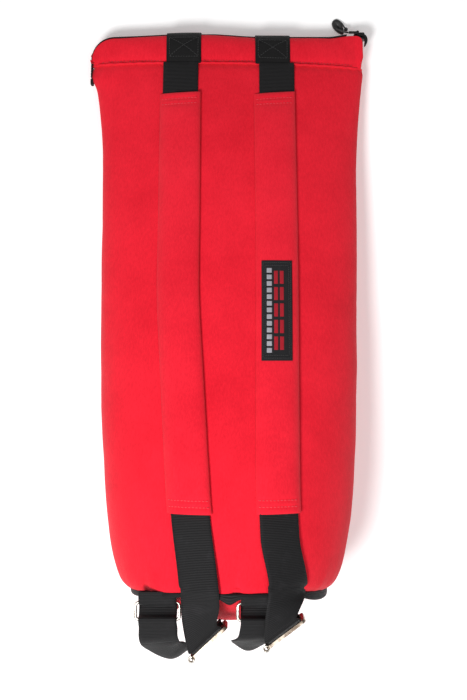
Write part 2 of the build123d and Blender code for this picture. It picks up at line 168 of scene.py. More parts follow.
def slab(name, grid, thickness, wrap=False, inward=1.0, roll=0.3):
    """A closed sheet of cloth: the grid is its face, and its other face lies a thickness behind."""
    grid = np.asarray(grid, float)
    rows, columns = grid.shape[:2]
    depth = np.broadcast_to(np.asarray(thickness, float), (rows, columns))[..., None]
    normal = grid_normals(grid, wrap) * inward
    back = grid + normal * depth
    places = cloth_places(grid, wrap)
    verts = list(grid.reshape(-1, 3)) + list(back.reshape(-1, 3))
    cloth = list(places.reshape(-1, 3)) + list(places.reshape(-1, 3))
    faces = []
    steps = columns if wrap else columns - 1
    count = rows * columns
    for i in range(rows - 1):
        for j in range(steps):
            a, b = i * columns + j, i * columns + (j + 1) % columns
            c, d = a + columns, b + columns
            faces.append((a, b, d, c))
            faces.append((count + a, count + c, count + d, count + b))
    rims = []
    if wrap:
        rims.append(list(range(columns)))
        rims.append([(rows - 1) * columns + j for j in range(columns)])
    else:
        loop = list(range(columns))
        loop += [i * columns + columns - 1 for i in range(1, rows)]
        loop += [(rows - 1) * columns + j for j in range(columns - 2, -1, -1)]
        loop += [i * columns for i in range(rows - 2, 0, -1)]
        rims.append(loop)
    flat = grid.reshape(-1, 3)
    behind = back.reshape(-1, 3)
    for rim in rims:
        first = len(verts)
        for k, v in enumerate(rim):
            middle = (flat[v] + behind[v]) / 2
            row, column = divmod(v, columns)
            inner_row = min(max(row, 1), rows - 2)
            inner_column = column if wrap else min(max(column, 1), columns - 2)
            neighbour = flat[inner_row * columns + inner_column]
            away = flat[v] - neighbour
            size = np.linalg.norm(away)
            if size > 0:
                middle = middle + away / size * roll * float(depth[row, column, 0])
            verts.append(middle)
            cloth.append(places.reshape(-1, 3)[v])
        for k, v in enumerate(rim):
            w = rim[(k + 1) % len(rim)]
            m, n = first + k, first + (k + 1) % len(rim)
            faces.append((v, w, n, m))
            faces.append((m, n, count + w, count + v))
    return add_object(name, verts, faces, cloth)


def tube(name, sections):
    """A closed form through loops of points, with a fan over each end."""
    grid = np.asarray(sections, float)
    rows, columns = grid.shape[:2]
    places = cloth_places(grid, True)
    verts = list(grid.reshape(-1, 3))
    cloth = list(places.reshape(-1, 3))
    faces = []
    for i in range(rows - 1):
        for j in range(columns):
            a, b = i * columns + j, i * columns + (j + 1) % columns
            faces.append((a, b, b + columns, a + columns))
    for row, order in ((0, -1), (rows - 1, 1)):
        centre = len(verts)
        verts.append(grid[row].mean(axis=0))
        cloth.append(places[row, 0])
        for j in range(columns):
            a, b = row * columns + j, row * columns + (j + 1) % columns
            faces.append((a, b, centre)[::order])
    return add_object(name, verts, faces, cloth)


def catmull(points, samples):
    """A smooth line through points, each of any number of values, evenly sampled."""
    points = np.asarray(points, float)
    ends = np.vstack([2 * points[0] - points[1], points, 2 * points[-1] - points[-2]])
    out = []
    for i in range(1, len(ends) - 2):
        a, b, c, d = ends[i - 1 : i + 3]
        steps = np.linspace(0, 1, samples, endpoint=i == len(ends) - 3)
        for s in steps:
            out.append(0.5 * (2 * b + (c - a) * s + (2 * a - 5 * b + 4 * c - d) * s * s
                              + (3 * b - a - 3 * c + d) * s ** 3))
    return np.array(out)


def line_x(line, y):
    """Where a strap's middle line crosses y, eased through its bends."""
    ys = [p[1] * MM for p in line]
    xs = [p[0] * MM for p in line]
    total = 0.0
    for shift in (-24, -12, 0, 12, 24):
        total += float(np.interp(y + shift * MM, ys[::-1], xs[::-1]))
    return total / 5


# ---- shader maths --------------------------------------------------------------------------------
class Value:
    """A shader socket that takes part in sums: each operator adds its Math node."""

    def __init__(self, paint, socket):
        self.paint = paint
        self.socket = socket

    def maths(self, operation, *others):
        return self.paint.node("ShaderNodeMath", {"operation": operation}, [self, *others])["Value"]

    def __add__(self, other):
        return self.maths("ADD", other)

    def __rsub__(self, other):
        return self.paint.node("ShaderNodeMath", {"operation": "SUBTRACT"}, [other, self])["Value"]

    def __mul__(self, other):
        return self.maths("MULTIPLY", other)

    __radd__ = __add__
    __rmul__ = __mul__

    def above(self, low, high):
        """0 below low, 1 above high, and smooth between."""
        settings = {"interpolation_type": "SMOOTHSTEP"}
        return self.paint.node("ShaderNodeMapRange", settings, [self, low, high, 0.0, 1.0])["Result"]


class Paint:
    """One material, with a method that adds any node."""

    def __init__(self, name, roughness, metallic=0.0, sheen=0.0, specular=0.5):
        self.material = bpy.data.materials.new(name)
        self.material.use_nodes = True
        self.tree = self.material.node_tree
        self.shader = self.tree.nodes["Principled BSDF"]
        self.shader.inputs["Roughness"].default_value = roughness
        self.shader.inputs["Metallic"].default_value = metallic
        self.shader.inputs["Sheen Weight"].default_value = sheen
        self.shader.inputs["Specular IOR Level"].default_value = specular

    def node(self, kind, settings=None, inputs=()):
        made = self.tree.nodes.new(kind)
        for key, value in (settings or {}).items():
            setattr(made, key, value)
        pairs = inputs.items() if isinstance(inputs, dict) else enumerate(inputs)
        for key, value in pairs:
            if isinstance(value, Value):
                self.tree.links.new(value.socket, made.inputs[key])
            elif value is not None:
                made.inputs[key].default_value = value
        return {out.name: Value(self, out) for out in made.outputs if out.enabled}

    def feed(self, name, value):
        if isinstance(value, Value):
            self.tree.links.new(value.socket, self.shader.inputs[name])
        else:
            self.shader.inputs[name].default_value = value

    def cloth(self):
        """The place on the flat cloth, in metres, as separate values."""
        place = self.node("ShaderNodeAttribute", {"attribute_name": "cloth"})["Vector"]
        parts = self.node("ShaderNodeSeparateXYZ", None, [place])
        return parts["X"], parts["Y"]

    def grain(self, scale, detail=2.0, stretch=None):
        """Noise on the object's own coordinates, scale in cells per metre."""
        place = self.node("ShaderNodeTexCoord")["Object"]
        if stretch:
            place = self.node("ShaderNodeMapping", None, {"Vector": place, "Scale": stretch})["Vector"]
        inputs = {"Vector": place, "Scale": scale, "Detail": detail, "Roughness": 0.6}
        found = self.node("ShaderNodeTexNoise", None, inputs)
        return found.get("Fac") or found["Factor"]

    def mix(self, factor, low, high):
        """A colour between two, by a factor."""
        made = self.tree.nodes.new("ShaderNodeMix")
        made.data_type = "RGBA"
        for socket, value in zip((made.inputs[0], made.inputs[6], made.inputs[7]), (factor, low, high)):
            if isinstance(value, Value):
                self.tree.links.new(value.socket, socket)
            else:
                socket.default_value = (*value, 1) if isinstance(value, tuple) else value
        return Value(self, made.outputs[2])

    def relief(self, height, distance, strength=1.0):
        inputs = {"Strength": strength, "Distance": distance, "Height": height}
        self.feed("Normal", self.node("ShaderNodeBump", None, inputs)["Normal"])


def waves(value, pitch):
    """A wave from 0 to 1 along a value, one crest each pitch."""
    return value.maths("MULTIPLY", 2 * math.pi / pitch).maths("SINE") * 0.5 + 0.5


def canvas_paint(name, deep, bright, fuzz=0.08):
    """Plain-woven cotton: crossed threads, uneven yarn, soft mottling and a little fuzz."""
    paint = Paint(name, 0.86, sheen=fuzz, specular=0.12)
    across, along = paint.cloth()
    wobble = paint.grain(180.0)
    warp = waves(across + wobble * 0.0012, 1.15 * MM)
    weft = waves(along + wobble * 0.0012, 1.15 * MM)
    weave = warp * weft + (1 - warp) * (1 - weft)
    slub = paint.grain(700.0, 2.0, (1.0, 0.25, 1.0))
    mottle = paint.grain(28.0, 4.0)
    wear = paint.grain(9.0, 3.0)
    tone = weave * 0.30 + slub * 0.40 + mottle * 0.30 + wear * 0.35
    paint.feed("Base Color", paint.mix(tone.above(0.30, 1.00), deep, bright))
    paint.feed("Roughness", mottle * 0.12 + 0.80)
    paint.relief(weave * 0.6 + slub * 0.9 + mottle * 0.3, 0.35 * MM, 0.55)
    return paint.material


def webbing_paint(name, deep, bright, rib=1.7 * MM):
    """Woven strap: fine ribs across, yarns along, fibre grain and flecks of lint."""
    paint = Paint(name, 0.62, sheen=0.03, specular=0.22)
    across, along = paint.cloth()
    ribs = waves(along + paint.grain(260.0) * 0.0006, rib)
    yarns = waves(across, 1.05 * MM)
    fibre = paint.grain(900.0, 2.0)
    lint = paint.grain(60.0, 3.0).above(0.55, 0.80)
    tone = ribs * 0.45 + yarns * 0.2 + fibre * 0.35 + lint * 0.3
    paint.feed("Base Color", paint.mix(tone.above(0.15, 1.1), deep, bright))
    paint.feed("Roughness", fibre * 0.2 + 0.55)
    paint.relief(ribs * 0.9 + yarns * 0.35 + fibre * 0.3, 0.35 * MM, 0.8)
    return paint.material


def lining_paint(name, deep, bright):
    paint = Paint(name, 0.6, sheen=0.1, specular=0.4)
    across, along = paint.cloth()
    weave = waves(across, 0.9 * MM) * waves(along, 0.9 * MM)
    fibre = paint.grain(400.0, 3.0)
    paint.feed("Base Color", paint.mix(weave * 0.5 + fibre * 0.5, deep, bright))
    paint.relief(weave + fibre * 0.5, 0.2 * MM, 0.5)
    return paint.material


def metal_paint(name, dark, light, roughness, metallic=1.0):
    """Plated steel, or with no metallic share a moulded part: rubbed streaks and cloudy tone."""
    paint = Paint(name, roughness, metallic)
    streak = paint.grain(500.0, 3.0, (1.0, 1.0, 0.2))
    cloud = paint.grain(120.0, 3.0)
    paint.feed("Base Color", paint.mix(cloud.above(0.3, 0.7), dark, light))
    paint.feed("Roughness", streak * 0.22 + (roughness - 0.08))
    paint.relief(streak, 0.05 * MM, 0.4)
    return paint.material


def thread_paint(name, deep, bright):
    paint = Paint(name, 0.55, sheen=0.2, specular=0.4)
    twist = waves(paint.grain(1500.0), 0.2)
    paint.feed("Base Color", paint.mix(twist, deep, bright))
    paint.relief(twist, 0.1 * MM, 0.5)
    return paint.material


RED_DEEP, RED_BRIGHT = (0.62, 0.004, 0.016), (0.92, 0.017, 0.038)
red_canvas = canvas_paint("red_canvas", RED_DEEP, RED_BRIGHT)
sleeve_canvas = canvas_paint("sleeve_canvas", (0.62, 0.004, 0.017), (0.92, 0.019, 0.041), 0.10)
black_webbing = webbing_paint("black_webbing", (0.002, 0.002, 0.002), (0.019, 0.018, 0.020))
patch_webbing = webbing_paint("patch_webbing", (0.001, 0.001, 0.001), (0.008, 0.007, 0.008), 1.2 * MM)
lining = lining_paint("dark_lining", (0.010, 0.010, 0.012), (0.045, 0.045, 0.050))
nickel = metal_paint("nickel_plate", (0.34, 0.30, 0.25), (0.78, 0.75, 0.70), 0.26)
old_brass = metal_paint("old_brass", (0.16, 0.12, 0.09), (0.60, 0.52, 0.43), 0.30)
black_metal = metal_paint("black_metal", (0.02, 0.02, 0.02), (0.07, 0.07, 0.07), 0.38)
zip_cloth = webbing_paint("zip_tape", (0.006, 0.006, 0.006), (0.022, 0.022, 0.022), 0.9 * MM)
zip_plastic = thread_paint("zip_coil", (0.008, 0.008, 0.008), (0.035, 0.035, 0.035))
red_thread = thread_paint("red_thread", (0.60, 0.010, 0.030), (0.92, 0.070, 0.100))
black_thread = thread_paint("black_thread", (0.006, 0.006, 0.006), (0.036, 0.036, 0.038))
dark_red_thread = thread_paint("dark_red_thread", (0.36, 0.003, 0.012), (0.62, 0.015, 0.030))
soft_rubber = metal_paint("soft_rubber", (0.010, 0.010, 0.010), (0.030, 0.030, 0.030), 0.42, 0.0)
label_black = webbing_paint("label_ground", (0.006, 0.006, 0.007), (0.030, 0.030, 0.034), 0.6 * MM)
label_grey = webbing_paint("label_grey", (0.30, 0.30, 0.34), (0.62, 0.61, 0.66), 0.6 * MM)
label_red = webbing_paint("label_red", (0.34, 0.005, 0.015), (0.66, 0.020, 0.040), 0.6 * MM)


def dress(piece, material, body, slot, *nodes):
    """Gives a piece its material and body, and hides the CAD nodes that it stands for; slot is not used.
    """
    piece.data.materials.clear()
    piece.data.materials.append(material)
    if body:
        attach(piece, body)
    if nodes:
        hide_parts(*nodes)
    return piece


def repaint(node, material):
    """Gives a rigid CAD node that stays visible its material."""
    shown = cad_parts[node]
    shown.data.materials.clear()
    shown.data.materials.append(material)


# ---- where the mouth's band lies -----------------------------------------------------------------
ZIP_TOP = ZIP_Z + ZIP_HALF
ZIP_BOTTOM = ZIP_Z - ZIP_HALF
FLAP_HALF = 155 * MM
SECTION_Z = MOUTH_HEIGHT / 2 - 2 * MM       # the middle and the rise of the section at the seam
SECTION_RISE = 24 * MM
SEAM_HALF = MOUTH_HALF - 1.2 * MM


def seam_slant(x):
    """How far the piped seam lies off its level: it drops a little towards the right."""
    return -1.2 * MM - 2.0 * MM * x / MOUTH_HALF


def mouth_shift(x):
    """The mouth's ends both lie a little to the left."""
    return -2.4 * MM * float(smooth((abs(x) - 0.10) / 0.05))


def band_reach(x):
    """How far the band stands beyond the seam: a wide left corner and a tight right one."""
    reach = BAND - 3.2 * MM * float(smooth((-0.045 - x) / 0.09))
    reach -= 3.4 * MM * float(smooth((x + 0.03) / 0.07) * (1 - smooth((x - 0.115) / 0.03)))
    for side, radius in ((-1, 27 * MM), (1, 8 * MM)):
        past = side * x - (MOUTH_HALF - radius)
        if past > 0:
            reach -= radius - math.sqrt(max(0.0, radius ** 2 - min(past, radius) ** 2))
    return reach


def flap_point(x, s):
    """The flap's face: s from 0 at the piped seam to 1 at the zip."""
    turn = min(s, 1.0) * math.pi / 2
    reach = band_reach(x)
    seam = SECTION_Z + SECTION_RISE * math.sqrt(max(0.0, 1 - (x / MOUTH_HALF) ** 2))
    crown = max(0.4 * MM, seam - ZIP_TOP)
    y = SEAM_Y + 1.2 * MM + seam_slant(x) * (1 - s) + (reach - 1.2 * MM) * math.sin(turn) ** 0.9
    z = ZIP_TOP + crown * max(0.0, math.cos(turn)) ** 0.62
    return Vector((x + mouth_shift(x), y, z))


# ---- pieces: the padded tube, its lining and the base --------------------------------------------
def tube_relief(p, t, angle):
    """How far the padded wall stands out of its plain form: soft swells, puckers and pinches."""
    from_seam = t * BODY
    from_rim = (1 - t) * BODY
    swell = 1.3 * MM * ripple(p, 0.13) + 0.55 * MM * ripple(p, 0.045, 3.1)
    swell += 0.22 * MM * ripple(p, 0.016, 7.7)
    pinch = 2.0 * MM * math.exp(-((from_seam / 0.005) ** 2))
    pinch += 1.6 * MM * math.exp(-((from_rim / 0.005) ** 2))
    gathers = 0.45 * MM * math.sin(p.x / 0.0021 + 3 * ripple(p, 0.03)) * math.exp(-from_seam / 0.010)
    turn = angle * 0.105
    rim_gathers = 1.1 * MM * noise.noise(Vector((turn / 0.011, 4.2, 0))) * math.exp(-from_rim / 0.016)
    side = min(abs(math.sin(angle)), 1.0) * half_width(t)
    seam_line = 1.1 * MM * math.exp(-((side / 0.0024) ** 2))
    fold = 0.0
    if math.sin(angle) > 0:
        fold += 5.0 * MM * math.exp(-(((p.x - 0.0085) / 0.0045) ** 2)) * math.exp(-from_rim / 0.011)
        fold -= 1.8 * MM * math.exp(-(((p.x + 0.004) / 0.008) ** 2)) * math.exp(-from_rim / 0.016)
        fold += 2.6 * MM * math.exp(-(((p.x + 0.088) / 0.005) ** 2)) * math.exp(-from_rim / 0.010)
    above = float(smooth((p.z - 1 * MM) / 0.012))
    return (swell - pinch + gathers + rim_gathers - seam_line - fold) * above


def rim_overhang(z):
    """How far the padded wall rolls over the base's seam: most at the back."""
    return (2.5 + 6.5 * float(smooth((z - 0.03) / 0.11))) * MM


def padded_tube():
    rows, columns = 300, 264
    grid = np.zeros((rows, columns, 3))
    for i in range(rows):
        t = 0.5 * (1 - math.cos(math.pi * i / (rows - 1)))
        for j in range(columns):
            angle = 2 * math.pi * j / columns
            p = tube_point(t, angle)
            out = Vector((math.cos(angle), 0, math.sin(angle)))
            p += out * tube_relief(p, t, angle)
            fade = (1 - t) ** 12
            p.y += seam_slant(p.x) * fade - rim_overhang(p.z) * float(smooth((t - 0.86) / 0.14))
            if p.x < -0.12:
                p.x -= 3.2 * MM * math.exp(-(((p.y - 0.317) / 0.010) ** 2))
            p.x += mouth_shift(p.x) * fade
            if p.x > 0:
                p.x += (2.6 * MM * (1 - t) - 0.6 * MM) * p.x / MID_HALF
            else:
                p.x -= 1.9 * MM * math.exp(-(((t - 0.78) / 0.13) ** 2)) * p.x / MID_HALF
            grid[i, j] = (p.x, p.y, max(p.z, 0.0))
    piece = slab("padded_tube", grid, 8.6 * MM, wrap=True, inward=-1, roll=0.25)
    dress(piece, red_canvas, "bag", "red_canvas",
          "back_panel", "back_foam", "front_panel", "front_foam")


def tube_lining():
    rows, columns = 60, 96
    grid = np.zeros((rows, columns, 3))
    for i in range(rows):
        for j in range(columns):
            angle = 2 * math.pi * j / columns
            p = tube_point(i / (rows - 1) * 0.985, angle, WALL - 0.9 * MM)
            p.z += 0.5 * MM * ripple(p, 0.03) + 0.3 * MM
            grid[i, j] = (p.x, p.y + seam_slant(p.x) * (i == 0), p.z)
    piece = slab("bag_lining", grid, 0.7 * MM, wrap=True, inward=-1)
    dress(piece, lining, "bag", "lining_cloth", "lining")


def base_frame():
    """The base's middle, its outward direction and its upward one."""
    tilt = BASE_TILT
    middle = Vector((0, SEAM_Y - BODY, (BASE_HEIGHT - REST_FLAT) / 2))
    outward = Vector((0, -math.cos(tilt), math.sin(tilt)))
    return middle, outward, Vector((0, math.sin(tilt), math.cos(tilt)))


def base_point(angle, share, out, grow=0.0):
    middle, outward, up = base_frame()
    across = (BASE_HALF + grow) * share
    rise = ((BASE_HEIGHT + REST_FLAT) / 2 + grow) * share
    p = middle + outward * out + Vector((across * math.cos(angle), 0, 0)) + up * rise * math.sin(angle)
    p.z = max(p.z, 0.2 * MM)
    return p


def base_pieces():
    sections = []
    columns = 200
    shares = [(0.955, 0.6), (0.972, 3.0), (0.972, 5.6)]
    shares += [(0.965 * math.cos(a), 6.2 + 37.0 * (1 - math.cos(a) ** 2) ** 1.2)
               for a in np.linspace(0.06, 1.54, 44)]
    for share, out in shares:
        loop = []
        for j in range(columns):
            angle = 2 * math.pi * j / columns
            p = base_point(angle, share, out * MM)
            relief = 1.1 * MM * ripple(p, 0.06, 2.0) + 0.3 * MM * ripple(p, 0.02, 5.0)
            gathers = math.sin(angle * 41 + 2 * ripple(p, 0.05)) * max(0, share - 0.8) * 4 * (out > 6)
            p += base_frame()[1] * (relief + 0.9 * MM * gathers) * float(smooth(p.z / 0.01))
            loop.append(p)
        sections.append(loop)
    piece = tube("base_panel_cloth", sections)
    dress(piece, red_canvas, "bag", "red_canvas", "base_panel", "base_foam")
    base_binding()
    repaint("base_lining", lining)
    repaint("base_board", black_metal)


def base_binding():
    """A folded tape over the seam's raw edge, standing out past the wall, wavy all round."""
    columns = 300
    profile = catmull([(-3.5, -1.5), (-0.4, -0.6), (0.9, 0.15), (1.3, 0.5), (0.9, 0.85),
                       (0.0, 1.0), (-1.4, 0.9), (-2.6, 0.5), (-3.6, 0.1)], 4)
    grid = np.zeros((len(profile), columns, 3))
    for j in range(columns):
        angle = 2 * math.pi * j / columns
        plain = base_point(angle, 1.0, 0.0)
        reach = 4.0 + 1.3 * noise.noise(Vector((3 * math.cos(angle), 3 * math.sin(angle), 6.0)))
        if plain.z > 0.07:
            reach += 5.0 * math.exp(-(((plain.x - 0.094) / 0.018) ** 2))
            reach += 6.0 * math.exp(-(((plain.x - 0.001) / 0.008) ** 2))
            reach += 1.5 * math.exp(-(((plain.x + 0.100) / 0.012) ** 2))
        start = rim_overhang(plain.z) / MM - 0.8
        for i, (grow, share) in enumerate(profile):
            out = start + (share * reach if share > 0 else share)
            p = base_point(angle, 1.0, out * MM, grow * MM)
            p += base_frame()[1] * 0.6 * MM * ripple(p, 0.020, 1.0)
            p.z = max(p.z - 0.8 * MM * float(smooth((p.z - 0.12) / 0.05)), 0.3 * MM)
            grid[i, j] = p
    binding = slab("base_binding_webbing", grid, 0.9 * MM, wrap=True, inward=-1)
    dress(binding, black_webbing, "bag", "black_webbing", "base_binding")


# ---- pieces: the mouth's flap, band and zip ------------------------------------------------------
def flap_piece():
    rows, columns = 34, 260
    grid = np.zeros((rows, columns, 3))
    for i in range(rows):
        s = i / (rows - 1)
        for j in range(columns):
            u = -1 + 2 * j / (columns - 1)
            x = u * (FLAP_HALF + 3 * MM * float(smooth(s * 3)))
            p = flap_point(x, s)
            relief = 0.8 * MM * ripple(p, 0.05, 9.0) + 0.35 * MM * ripple(p, 0.018, 2.0)
            relief -= 1.1 * MM * math.exp(-((s * BAND / 0.003) ** 2))
            relief += 0.35 * MM * math.sin(x / 0.0019) * math.exp(-s * BAND / 0.006)
            p.z += relief * math.cos(min(s, 1) * math.pi / 2) ** 0.5
            p.y += 0.5 * MM * ripple(p, 0.04, 6.0) * s
            grid[i, j] = p
    piece = slab("mouth_flap_band", grid, 4.4 * MM, inward=-1)
    dress(piece, red_canvas, "mouth_flap", "red_canvas", "flap_panel", "flap_foam", "flap_lining")


def front_band():
    """The band's fixed part: under the flap, round the ends and along the table."""
    rows, columns = 26, 200
    start = math.asin((ZIP_TOP - SECTION_Z) / SECTION_RISE)
    grid = np.zeros((rows, columns, 3))
    for i in range(rows):
        s = i / (rows - 1)
        turn = s * math.pi / 2
        for j in range(columns):
            angle = -start + (math.pi + 2 * start) * j / (columns - 1)
            x = SEAM_HALF * math.cos(angle)
            seam = max(0.0, SECTION_Z - SECTION_RISE * math.sin(angle))
            ends = abs(math.cos(angle)) ** 8
            stay = max(0.0, math.cos(turn)) ** (0.65 - 0.45 * ends)
            z = ZIP_BOTTOM + (seam - ZIP_BOTTOM) * stay
            y = SEAM_Y + seam_slant(x) * (1 - s) + band_reach(x) * math.sin(turn) ** 0.9
            grid[i, j] = (x + mouth_shift(x), y, max(0.0, z))
    piece = slab("mouth_band_cloth", grid, 3.6 * MM, inward=-1)
    dress(piece, red_canvas, "bag", "red_canvas", "mouth_band", "mouth_band_foam", "mouth_lining")


def round_cord(name, points, radius, sides=10, closed=False):
    """A round tube along points; closed joins its two ends."""
    points = np.asarray(points, float)
    if closed:
        ahead = np.roll(points, -1, axis=0) - np.roll(points, 1, axis=0)
    else:
        ahead = np.gradient(points, axis=0)
    ahead /= np.linalg.norm(ahead, axis=1, keepdims=True)
    sections = []
    for p, direction in zip(points, ahead):
        side = np.cross(direction, (0.13, 0.21, 0.97))
        side /= np.linalg.norm(side)
        up = np.cross(side, direction)
        loop = []
        for k in range(sides):
            a = 2 * math.pi * k / sides
            loop.append(p + radius * (side * math.cos(a) + up * math.sin(a)))
        sections.append(loop)
    if not closed:
        return tube(name, sections)
    grid = np.asarray(sections)
    rows = len(grid)
    verts = list(grid.reshape(-1, 3))
    faces = []
    for i in range(rows):
        for j in range(sides):
            a, b = i * sides + j, i * sides + (j + 1) % sides
            c, d = (i + 1) % rows * sides + j, (i + 1) % rows * sides + (j + 1) % sides
            faces.append((a, b, d, c))
    return add_object(name, verts, faces, cloth_places(grid, True).reshape(-1, 3))


def piping():
    points = []
    for j in range(420):
        angle = 2 * math.pi * j / 420
        x = SEAM_HALF * math.cos(angle)
        z = SECTION_Z + (SECTION_RISE + 0.2 * MM) * math.sin(angle)
        wave = 0.25 * MM * math.sin(x / 0.0017)
        y = SEAM_Y + 0.2 * MM + seam_slant(x) + wave
        points.append((x + mouth_shift(x), y, max(z, 1.5 * MM)))
    piece = round_cord("seam_piping", points, 1.35 * MM, closed=True)
    dress(piece, red_canvas, "bag", "red_canvas", "top_seam_piping")


def capsule(start, end, radius, sides=6):
    """The rings of one stitch: a short round-ended thread from start to end."""
    start, end = Vector(start), Vector(end)
    ahead = (end - start).normalized()
    side = ahead.cross(Vector((0.21, 0.13, 0.97))).normalized()
    up = side.cross(ahead)
    rings = []
    for share, size in ((0.0, 0.35), (0.14, 0.85), (0.5, 1.0), (0.86, 0.85), (1.0, 0.35)):
        centre = start.lerp(end, share)
        rings.append([
            centre + (side * math.cos(2 * math.pi * k / sides) + up * math.sin(2 * math.pi * k / sides))
            * radius * size for k in range(sides)
        ])
    return rings


def add_rings(verts, faces, rings):
    """Adds a closed form through rings of points to lists of vertices and faces."""
    first = len(verts)
    sides = len(rings[0])
    for ring in rings:
        verts += ring
    for i in range(len(rings) - 1):
        for j in range(sides):
            a, b = first + i * sides + j, first + i * sides + (j + 1) % sides
            faces.append((a, b, b + sides, a + sides))
    faces.append(tuple(first + j for j in range(sides))[::-1])
    faces.append(tuple(first + (len(rings) - 1) * sides + j for j in range(sides)))


def stitching(name, runs, material, body, slot, length=2.5 * MM, gap=1.1 * MM, radius=0.38 * MM):
    """Rows of stitches, all in one piece, along runs of points."""
    verts, faces = [], []
    for run in runs:
        run = np.asarray(run, float)
        lengths = np.r_[0, np.cumsum(np.linalg.norm(np.diff(run, axis=0), axis=1))]
        place = gap
        while place + length < lengths[-1]:
            ends = [[np.interp(at, lengths, run[:, k]) for k in range(3)]
                    for at in (place, place + length)]
            add_rings(verts, faces, capsule(*ends, radius))
            place += length + gap
    piece = add_object(name, verts, faces)
    return dress(piece, material, body, slot)


def band_stitching():
    runs = []
    for low, high in ((-0.146, -0.0745), (-0.0305, 0.0285), (0.0720, 0.148)):
        xs = np.linspace(low, high, 30)
        runs.append([flap_point(x, 0.026) + Vector((0, 0, -0.25 * MM)) for x in xs])
    stitching("band_topstitch", runs, dark_red_thread, "mouth_flap", "red_canvas")


ZIP_LINE_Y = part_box("front_zip_tape")[0].y + 0.4 * MM
ZIP_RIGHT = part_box("front_zip_tape")[1].x
FLAP_ZIP = (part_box("back_zip_tape")[0].x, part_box("back_zip_tape")[1].x)
ZIP_PROUD = 0.9 * MM                        # how far the zip stands out past the band
TOOTH_HALF = 1.35 * MM
TOOTH_RADIUS = 0.62 * MM
TOOTH_PITCH = 1.9 * MM


def zip_line(low, high):
    """Points along the zip from right to left, at its height, between two places across."""
    points = []
    for x in np.linspace(high, low, max(8, int((high - low) / 0.004))):
        y = min(ZIP_LINE_Y, SEAM_Y + band_reach(x) + ZIP_PROUD)
        points.append(Vector((x + mouth_shift(x), y, ZIP_Z)))
    return points


def zip_round_corner():
    """The zip's run round the mouth's left corner and down the bag's side to its end."""
    points = []
    for a in np.linspace(0, math.pi / 2, 18):
        x = -MOUTH_HALF + 31 * MM * (1 - math.sin(a))
        y = SEAM_Y + band_reach(x) + ZIP_PROUD
        points.append(Vector((x + mouth_shift(x) + 0.6 * MM * math.sin(a), y, ZIP_Z)))
    last = points[-1]
    for share in np.linspace(0, 1, 8)[1:]:
        points.append(Vector((last.x - 0.6 * MM * share, last.y + (0.3175 - last.y) * share, ZIP_Z)))
    return points


def tape_strip(name, line, low, high, body, *nodes):
    grid = np.zeros((4, len(line), 3))
    for i, z in enumerate(np.linspace(low, high, 4)):
        for j, p in enumerate(line):
            grid[i, j] = (p.x, p.y, z)
    piece = slab(name, grid, 0.7 * MM)
    return dress(piece, zip_cloth, body, "zip_black", *nodes)


def zip_teeth(name, line, height, body, *nodes):
    """One row of the zip's coil: a small rounded loop every couple of millimetres."""
    line = np.asarray(line, float)
    lengths = np.r_[0, np.cumsum(np.linalg.norm(np.diff(line, axis=0), axis=1))]
    verts, faces = [], []
    place = 0.8 * MM
    while place < lengths[-1] - 0.8 * MM:
        here = Vector([float(np.interp(place, lengths, line[:, k])) for k in range(3)])
        beyond = Vector([float(np.interp(place + 0.5 * MM, lengths, line[:, k])) for k in range(3)])
        ahead = beyond - here
        ahead = ahead.normalized() if ahead.length > 0 else Vector((-1, 0, 0))
        out = ahead.cross(Vector((0, 0, 1))) * -1
        centre = Vector((here.x, here.y, height))
        tooth = capsule(centre - out * TOOTH_HALF, centre + out * TOOTH_HALF, TOOTH_RADIUS, 8)
        add_rings(verts, faces, tooth)
        place += TOOTH_PITCH
    piece = add_object(name, verts, faces)
    return dress(piece, zip_plastic, body, "zip_black", *nodes)


def zip_pieces():
    front = zip_line(-0.1265, ZIP_RIGHT)
    tape_strip("zip_tape_front", front, ZIP_BOTTOM - 1.5 * MM, ZIP_Z - 1.9 * MM, "bag", "front_zip_tape")
    zip_teeth("zip_coil_front", front, ZIP_Z - 1.35 * MM, "bag", "front_zip_teeth")
    flap = zip_line(*FLAP_ZIP)
    tape_strip("zip_tape_flap", flap, ZIP_Z + 1.9 * MM, ZIP_TOP + 1.8 * MM, "mouth_flap", "back_zip_tape")
    zip_teeth("zip_coil_flap", flap, ZIP_Z + 1.35 * MM, "mouth_flap", "back_zip_teeth")
    corner = zip_round_corner()
    tape_strip("zip_tape_corner", corner, ZIP_BOTTOM - 1 * MM, ZIP_TOP + 1 * MM, "bag", "side_zip_tape")
    outer = [p + Vector((-0.9 * MM, 0.5 * MM, 0)) for p in corner]
    zip_teeth("zip_coil_corner", outer, ZIP_Z, "bag")
    low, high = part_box("zip_end_tab")
    middle = (low + high) / 2
    sections = []
    for share in np.linspace(-1, 1, 9):
        size = math.sqrt(max(0.02, 1 - share ** 4))
        loop = []
        for k in range(20):
            a = 2 * math.pi * k / 20
            x = middle.x + 1.9 * MM * size * math.copysign(abs(math.cos(a)) ** 0.6, math.cos(a))
            z = middle.z + 5.6 * MM * size * math.copysign(abs(math.sin(a)) ** 0.6, math.sin(a))
            loop.append((x, middle.y + share * 4.4 * MM, z))
        sections.append(loop)
    dress(tube("zip_end_cap", sections), zip_cloth, "bag", "zip_black", "zip_end_tab")
    zip_end_fold()
    repaint("zip_slider", black_metal)
    repaint("zip_pull_tab", black_metal)


